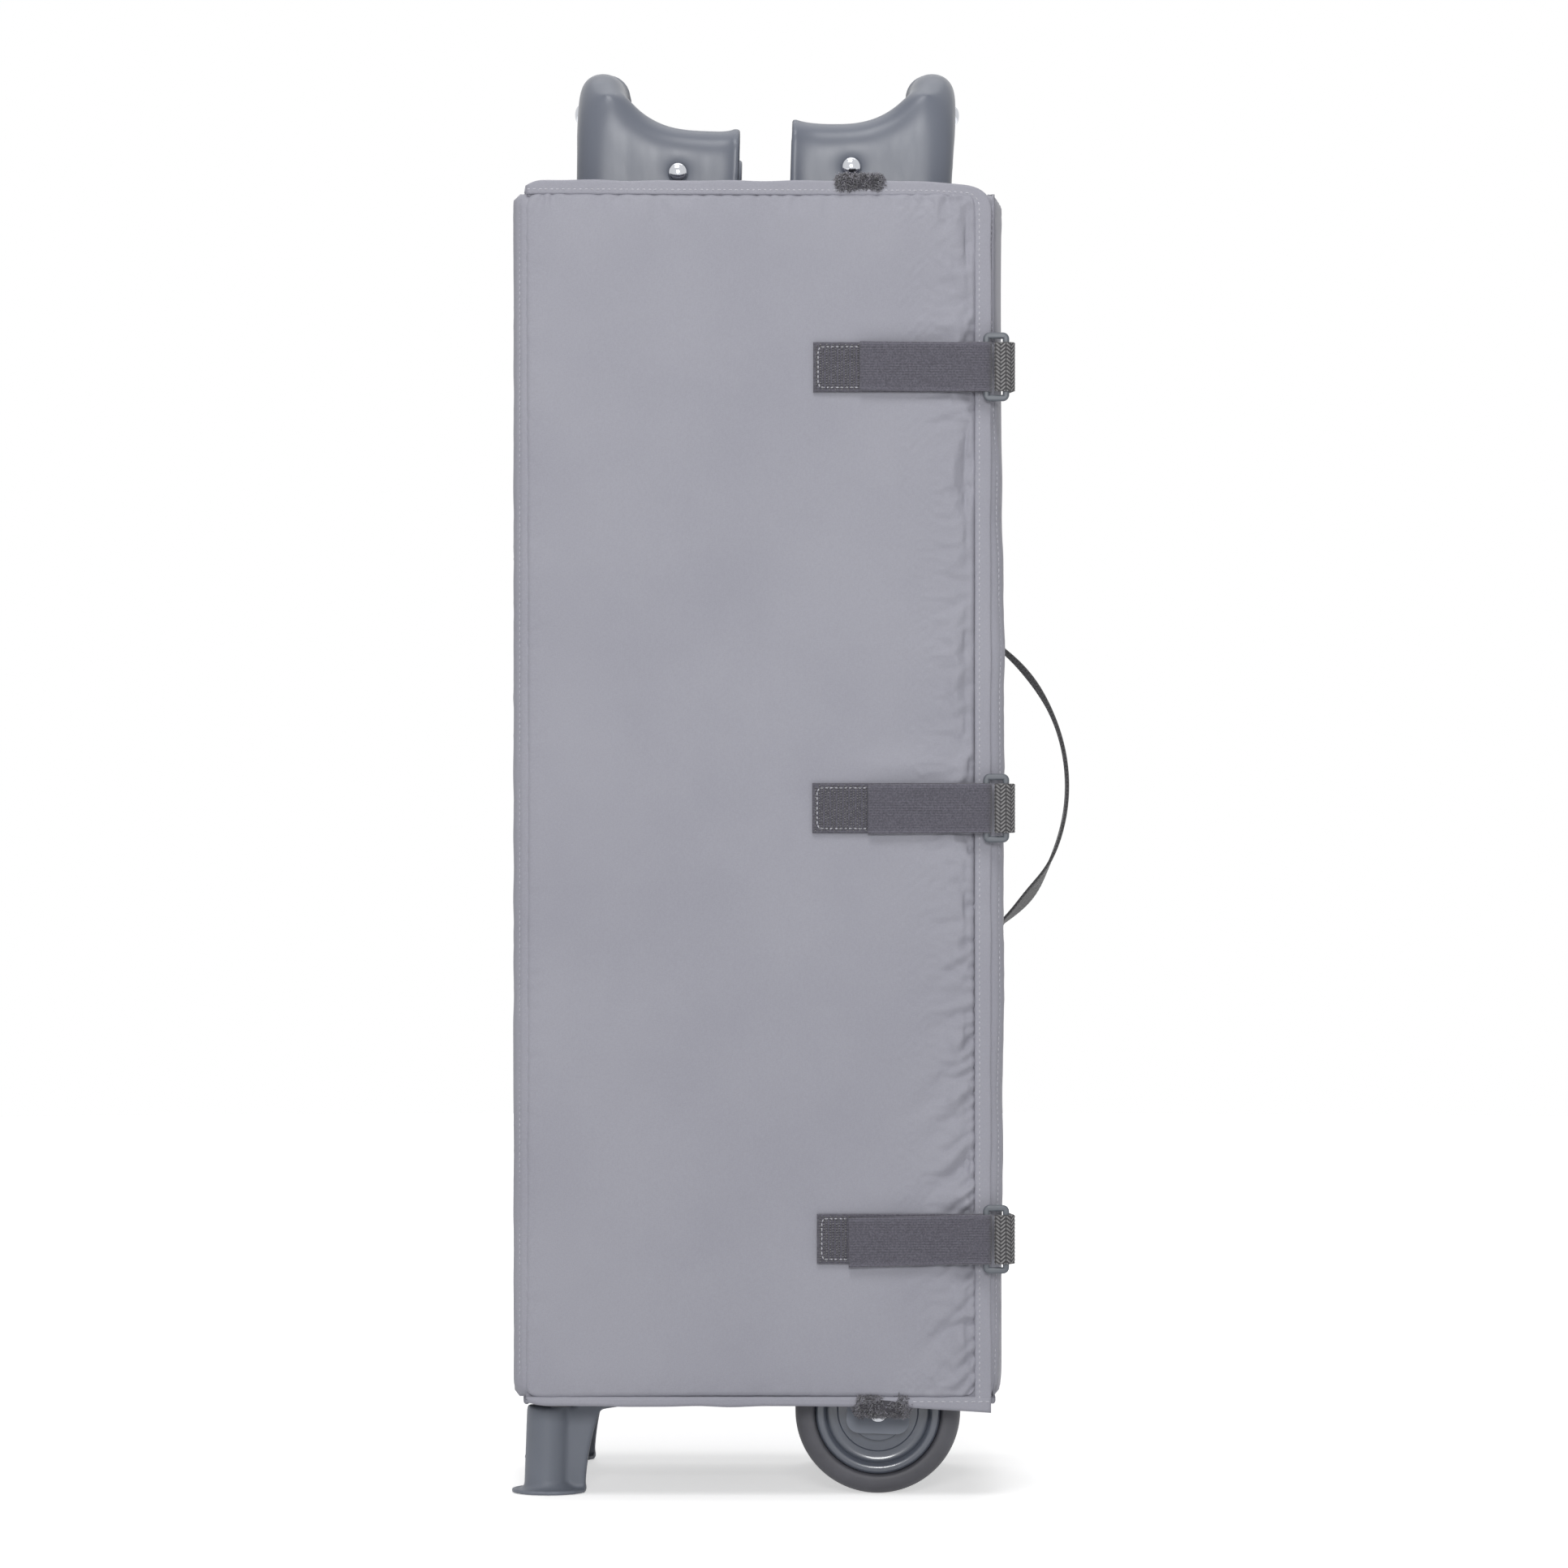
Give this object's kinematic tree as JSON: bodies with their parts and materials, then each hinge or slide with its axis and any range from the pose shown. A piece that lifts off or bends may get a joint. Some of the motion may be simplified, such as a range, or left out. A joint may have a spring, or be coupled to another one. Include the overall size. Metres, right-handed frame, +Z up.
{
  "type": "folded playpen",
  "caption": "Folding playpen packed for carrying: folded frame on feet and wheels, wrapped in its own padded mattress with cinch straps and a webbing carry handle.",
  "frame": {"origin": "on the floor, under the middle of the object's bounding box", "axes": "+Z up along the standing bundle, +X towards the carry handle, +Y away from the strap side"},
  "size_m": [0.3068, 0.2658, 0.7787],
  "materials": {
    "mattress_fabric": "plain woven taffeta with a light coating",
    "board": "raw hardboard",
    "strap_webbing": "woven strap with loop face",
    "tab_webbing": "herringbone webbing",
    "ring_plastic": "moulded",
    "handle_webbing": "flat webbing",
    "loop_pile": "brushed loop pile",
    "tube_paint": "powder coat",
    "bracket_plastic": "satin moulded",
    "frame_plastic": "satin moulded",
    "button_plastic": "moulded",
    "rivet_metal": "bright plated",
    "rim_plastic": "polished mould",
    "tyre_rubber": "smooth",
    "pull_webbing": "flat webbing",
    "lining_cloth": "plain woven polyester"
  },
  "bodies": {
    "frame": {"axle_rivets": "rivet_metal", "base_pins": "rivet_metal", "base_tube_front_left": "tube_paint", "base_tube_front_right": "tube_paint", "base_tube_rear_left": "tube_paint", "base_tube_rear_right": "tube_paint", "floor_cloth": "lining_cloth", "foot_front": "frame_plastic", "foot_rear": "frame_plastic", "hub": "frame_plastic", "hub_pull_strap": "pull_webbing", "latch_front": "frame_plastic", "latch_left": "frame_plastic", "latch_rear": "frame_plastic", "latch_right": "frame_plastic", "latch_rivets": "rivet_metal", "post_front_left": "tube_paint", "post_front_right": "tube_paint", "post_rear_left": "tube_paint", "post_rear_right": "tube_paint", "rail_front_left": "tube_paint", "rail_front_right": "tube_paint", "rail_left_front": "tube_paint", "rail_left_rear": "tube_paint", "rail_rear_left": "tube_paint", "rail_rear_right": "tube_paint", "rail_right_front": "tube_paint", "rail_right_rear": "tube_paint", "rail_rivets": "rivet_metal", "top_bracket_front_left": "bracket_plastic", "top_bracket_front_right": "bracket_plastic", "top_bracket_rear_left": "bracket_plastic", "top_bracket_rear_right": "bracket_plastic", "wall_cloth": "lining_cloth", "wheel_leg_front": "frame_plastic", "wheel_leg_rear": "frame_plastic"},
    "wrap": {"handle_ends": "handle_webbing", "loop_pile_tabs": "loop_pile", "mattress_boards": "board", "mattress_panel_front": "mattress_fabric", "mattress_panel_left": "mattress_fabric", "mattress_panel_rear": "mattress_fabric", "mattress_panel_right": "mattress_fabric", "ring_tabs": "tab_webbing", "strap_lower_base": "strap_webbing", "strap_middle_base": "strap_webbing", "strap_rings": "ring_plastic", "strap_upper_base": "strap_webbing"},
    "handle": {"handle_loop": "handle_webbing"},
    "upper_flap": {"strap_upper_flap": "strap_webbing"},
    "middle_flap": {"strap_middle_flap": "strap_webbing"},
    "lower_flap": {"strap_lower_flap": "strap_webbing"},
    "front_wheel": {"wheel_rim_front": "rim_plastic", "tyre_front": "tyre_rubber"},
    "rear_wheel": {"wheel_rim_rear": "rim_plastic", "tyre_rear": "tyre_rubber"},
    "front_latch_button": {"latch_button_front": "button_plastic"},
    "rear_latch_button": {"latch_button_rear": "button_plastic"},
    "left_latch_button": {"latch_button_left": "button_plastic"},
    "right_latch_button": {"latch_button_right": "button_plastic"}
  },
  "joints": [
    {"name": "wrap_lift", "type": "slide", "parent": "frame", "child": "wrap", "axis": [0, 0, 1], "range_m": [0, 0.73]},
    {"name": "upper_flap_peel", "type": "hinge", "parent": "wrap", "child": "upper_flap", "pos_m": [0.0975, -0.13295, 0.609], "axis": [0, 0, 1], "range_deg": [0, 150]},
    {"name": "middle_flap_peel", "type": "hinge", "parent": "wrap", "child": "middle_flap", "pos_m": [0.0975, -0.13295, 0.372], "axis": [0, 0, 1], "range_deg": [0, 150]},
    {"name": "lower_flap_peel", "type": "hinge", "parent": "wrap", "child": "lower_flap", "pos_m": [0.0975, -0.13295, 0.1405], "axis": [0, 0, 1], "range_deg": [0, 150]},
    {"name": "handle_swing", "type": "hinge", "parent": "wrap", "child": "handle", "pos_m": [0.1147, 0.00395, 0.384], "axis": [0, 0, 1], "range_deg": [-20, 20]},
    {"name": "front_wheel_roll", "type": "hinge", "parent": "frame", "child": "front_wheel", "pos_m": [0.04476, -0.08405, 0.0448], "axis": [0, 1, 0], "continuous": true},
    {"name": "rear_wheel_roll", "type": "hinge", "parent": "frame", "child": "rear_wheel", "pos_m": [0.04476, 0.09195, 0.0448], "axis": [0, 1, 0], "continuous": true},
    {"name": "front_latch_press", "type": "slide", "parent": "frame", "child": "front_latch_button", "axis": [-0.0319, 0, 0.9995], "range_m": [0, 0.004], "stiffness_N_per_m": 600, "springref_m": -0.004},
    {"name": "rear_latch_press", "type": "slide", "parent": "frame", "child": "rear_latch_button", "axis": [-0.0319, 0, 0.9995], "range_m": [0, 0.004], "stiffness_N_per_m": 600, "springref_m": -0.004},
    {"name": "left_latch_press", "type": "slide", "parent": "frame", "child": "left_latch_button", "axis": [0.0349, 0, 0.9994], "range_m": [0, 0.004], "stiffness_N_per_m": 600, "springref_m": -0.004},
    {"name": "right_latch_press", "type": "slide", "parent": "frame", "child": "right_latch_button", "axis": [0.0349, 0, 0.9994], "range_m": [0, 0.004], "stiffness_N_per_m": 600, "springref_m": -0.004}
  ]
}
